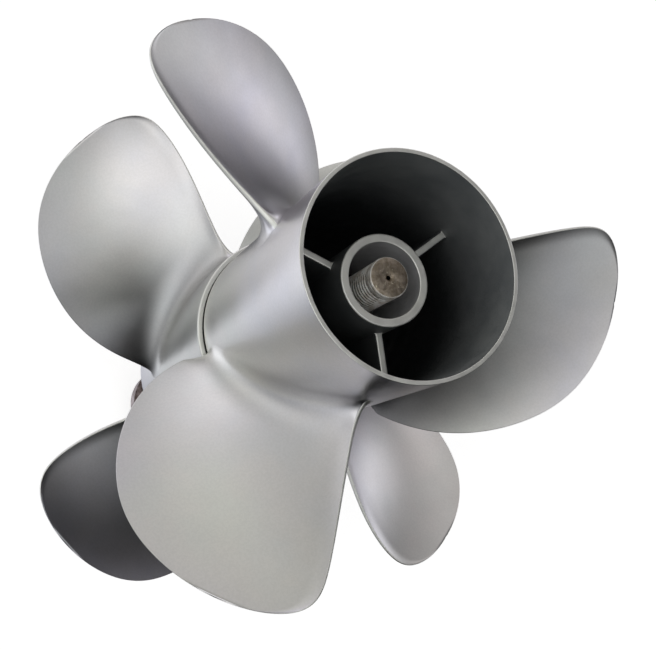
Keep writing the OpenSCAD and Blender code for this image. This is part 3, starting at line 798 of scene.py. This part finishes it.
def sooted():
    """The inside of the hubs: a dull dark exhaust film on the casting, and painted shade deeper in."""
    finish = Finish("sooted", 0, 0.6)
    film = finish.spread(finish.noise(45, 4, 0.6), 0.3, 0.75)
    thin = finish.mix(film, (0.13, 0.14, 0.145), (0.19, 0.2, 0.2))
    # Painted shade: the colour falls from the film's grey at the rim to near black 85 mm down the bore.
    finish.colour(finish.mix(finish.along_shaft(RIM - 85 * MM, RIM - 5 * MM), (0.02, 0.022, 0.024), thin))
    finish.roughness(finish.spread(finish.noise(90, 3), 0.3, 0.7, 0.5, 0.68))
    finish.bump(finish.noise(600, 3, 0.6), 0.00004)
    return finish.material


def pocket_steel():
    """The bored pocket round the shaft's end, grey and dull."""
    finish = Finish("pocket_steel", 0.3, 0.55)
    film = finish.spread(finish.noise(60, 4, 0.6), 0.3, 0.7)
    finish.colour(finish.mix(film, (0.42, 0.42, 0.43), (0.52, 0.52, 0.53)))
    finish.roughness(finish.spread(finish.noise(140, 3), 0.3, 0.7, 0.48, 0.62))
    finish.bump(finish.noise(700, 3, 0.6), 0.00003)
    return finish.material


def shaft_steel():
    """Turned shaft steel, worn bright, with tan and rose stains."""
    finish = Finish("shaft_steel", 0.6, 0.25)
    stain = finish.spread(finish.noise(170, 4, 0.65), 0.4, 0.62)
    finish.colour(finish.mix(stain, (0.74, 0.69, 0.64), (0.88, 0.86, 0.82)))
    finish.roughness(finish.spread(finish.noise(400, 3), 0.3, 0.7, 0.28, 0.4))
    finish.bump(finish.noise(1200, 3), 0.00002)
    return finish.material


def stained_face():
    """The shaft's end face: brown with old grease and rust, with bright specks and scratches."""
    finish = Finish("stained_face", 1, 0.45)
    stain = finish.spread(finish.noise(260, 4, 0.65), 0.38, 0.64)
    brown = finish.mix(stain, (0.3, 0.25, 0.19), (0.5, 0.43, 0.35))
    speck = finish.spread(finish.noise(620, 2, 0.5), 0.66, 0.7)
    finish.colour(finish.mix(speck, brown, (0.75, 0.71, 0.55)))
    finish.roughness(finish.spread(finish.noise(500, 3), 0.3, 0.7, 0.36, 0.55))
    finish.bump(finish.noise(420, 4, 0.6), 0.00025)
    return finish.material


def worn_steel():
    """Thread crests and chamfer of the shaft's end: pale worn steel with a trace of brown."""
    finish = Finish("worn_steel", 0.5, 0.4)
    stain = finish.spread(finish.noise(240, 4, 0.6), 0.35, 0.65)
    finish.colour(finish.mix(stain, (0.66, 0.61, 0.54), (0.95, 0.94, 0.9)))
    finish.roughness(finish.spread(finish.noise(400, 3), 0.3, 0.7, 0.32, 0.48))
    finish.bump(finish.noise(700, 3), 0.00003)
    return finish.material


def greased_steel():
    """Steel of the lock nut, its washers and thread grooves: old grease, and near-black painted shade."""
    finish = Finish("greased_steel", 0.9, 0.5)
    grease_and_shade = finish.spread(finish.noise(120, 4), 0.35, 0.65)
    # Painted shade: both tones are near black, so the nut and the thread grooves read as shadow.
    finish.colour(finish.mix(grease_and_shade, (0.03, 0.03, 0.03), (0.1, 0.095, 0.085)))
    finish.roughness(finish.spread(finish.noise(240, 3), 0.3, 0.7, 0.42, 0.6))
    finish.bump(finish.noise(400, 3), 0.0001)
    return finish.material


def bearing_steel():
    """Ground bearing steel under a thin brown film of oil."""
    finish = Finish("bearing_steel", 1, 0.25)
    film = finish.spread(finish.noise(110, 4, 0.65), 0.35, 0.62)
    finish.colour(finish.mix(film, (0.2, 0.15, 0.14), (0.5, 0.42, 0.42)))
    finish.roughness(finish.spread(finish.noise(260, 3), 0.3, 0.7, 0.28, 0.42))
    finish.bump(finish.noise(900, 2), 0.00002)
    return finish.material


def brass():
    """Turned brass, a little tarnished."""
    finish = Finish("brass", 1, 0.3)
    tarnish = finish.spread(finish.noise(90, 4, 0.6), 0.35, 0.65)
    finish.colour(finish.mix(tarnish, (0.42, 0.29, 0.13), (0.72, 0.53, 0.25)))
    finish.roughness(finish.spread(finish.noise(240, 3), 0.3, 0.7, 0.28, 0.44))
    finish.bump(finish.noise(900, 2), 0.00003)
    return finish.material


def rubber():
    """Black moulded rubber with a slight bloom."""
    finish = Finish("rubber", 0, 0.6)
    bloom = finish.spread(finish.noise(140, 4), 0.3, 0.7)
    finish.colour(finish.mix(bloom, (0.018, 0.018, 0.018), (0.04, 0.04, 0.042)))
    finish.roughness(finish.spread(finish.noise(300, 3), 0.3, 0.7, 0.5, 0.72))
    finish.bump(finish.noise(1100, 3), 0.00005)
    return finish.material


def carrier_paint():
    """Dark satin paint over a casting's fine grain."""
    finish = Finish("carrier_paint", 0, 0.4)
    shade = finish.spread(finish.noise(60, 3), 0.3, 0.7)
    finish.colour(finish.mix(shade, (0.045, 0.047, 0.052), (0.075, 0.078, 0.085)))
    finish.roughness(finish.spread(finish.noise(200, 3), 0.3, 0.7, 0.32, 0.5))
    finish.bump(finish.noise(700, 3, 0.6), 0.00008)
    finish.shader.inputs["Coat Weight"].default_value = 0.3
    finish.shader.inputs["Coat Roughness"].default_value = 0.15
    return finish.material


def paint(obj, *materials, choose=None):
    """Gives a piece its materials. choose says which one each face has."""
    obj.data.materials.clear()
    for material in materials:
        obj.data.materials.append(material)
    if choose:
        for face in obj.data.polygons:
            face.material_index = choose(face)


def wall_finish(bore, mouth):
    """0 outside, 1 on the bore: soot and painted shade deeper in, 2 on the aft face of a hub's wall."""
    def choose(face):
        if face.center.xy.length < bore + 1 * MM and face.center.z < mouth - 0.6 * MM:
            return 1
        return 2 if face.normal.z > 0.5 else 0
    return choose


def tube_finish(face):
    """0 on the aft ring, 1 on the outside: soot and painted shade deeper in, 2 in the pocket."""
    if face.center.z > TUBE_AFT - 1.2 * MM and face.normal.z > 0.3:
        return 0
    return 2 if face.center.xy.length < POCKET_R + 0.5 * MM else 1


def shaft_finish(face):
    """0 on turned sides, 1 on the stained end face, 2 on worn crests, 3 in grooves: grease and painted shade.
    """
    z, r = face.center.z, face.center.xy.length
    if z > SHAFT_AFT - 2 * MM:
        return 1 if r < (THREAD_R - 0.7) * MM else 2
    if z > THREAD_FORE:
        # Thread grooves take the near-black painted shade.
        return 3 if r < (THREAD_R - 0.6 * THREAD_DEPTH) * MM else 2
    return 0


def paint_all():
    steel, ground, soot_and_shade = stainless(), ground_steel(), sooted()
    by_slot = {"stainless": steel, "shaft_steel": shaft_steel(), "bearing_steel": bearing_steel(),
               "brass": brass(), "rubber": rubber(), "carrier_paint": carrier_paint()}
    slots = {row["node"]: row["material_slot"] for row in frame["record"]["subparts"]}
    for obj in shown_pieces():
        paint(obj, by_slot[slots.get(obj.name) or obj["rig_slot"]])
    grease_and_shade = greased_steel()
    # The nut and its washers are painted near black: painted shade deep in the pocket, over grease.
    for name in ("rear_lock_nut", "rear_tab_washer", "rear_thrust_washer"):
        paint(frame["nodes"][name], grease_and_shade)
    # The front hub's tube and ribs take the soot with its painted depth shade.
    for name in ("front_hub_tube", "front_hub_ribs"):
        paint(frame["nodes"][name], soot_and_shade)
    skins = bpy.data.objects
    for side, kind in (("rear", REAR), ("front", FRONT)):
        for n in range(kind.count):
            paint(skins[f"{side}_blade_{n + 1}_skin"], steel, ground, choose=ground_edge)
    paint(skins["rear_hub_skin"], steel, soot_and_shade, ground, choose=wall_finish(REAR_BORE, RIM))
    paint(skins["front_hub_skin"], steel, soot_and_shade, ground, choose=wall_finish(FRONT_BORE, FRONT_AFT))
    paint(skins["rear_tube_skin"], ground, soot_and_shade, pocket_steel(), choose=tube_finish)
    paint(skins["rear_ribs_skin"], ground, soot_and_shade, choose=lambda face: int(face.normal.z < 0.8))
    paint(skins["inner_shaft_skin"], by_slot["shaft_steel"], stained_face(), worn_steel(), grease_and_shade,
          choose=shaft_finish)


build_camera()
build_floor()
build_light()
build_blades()
for wall in (rear_barrel(), front_barrel(), rear_tube(), rear_ribs()):
    smooth_faces(wall)
inner_shaft()
paint_all()

bpy.context.scene.view_settings.view_transform = "Standard"
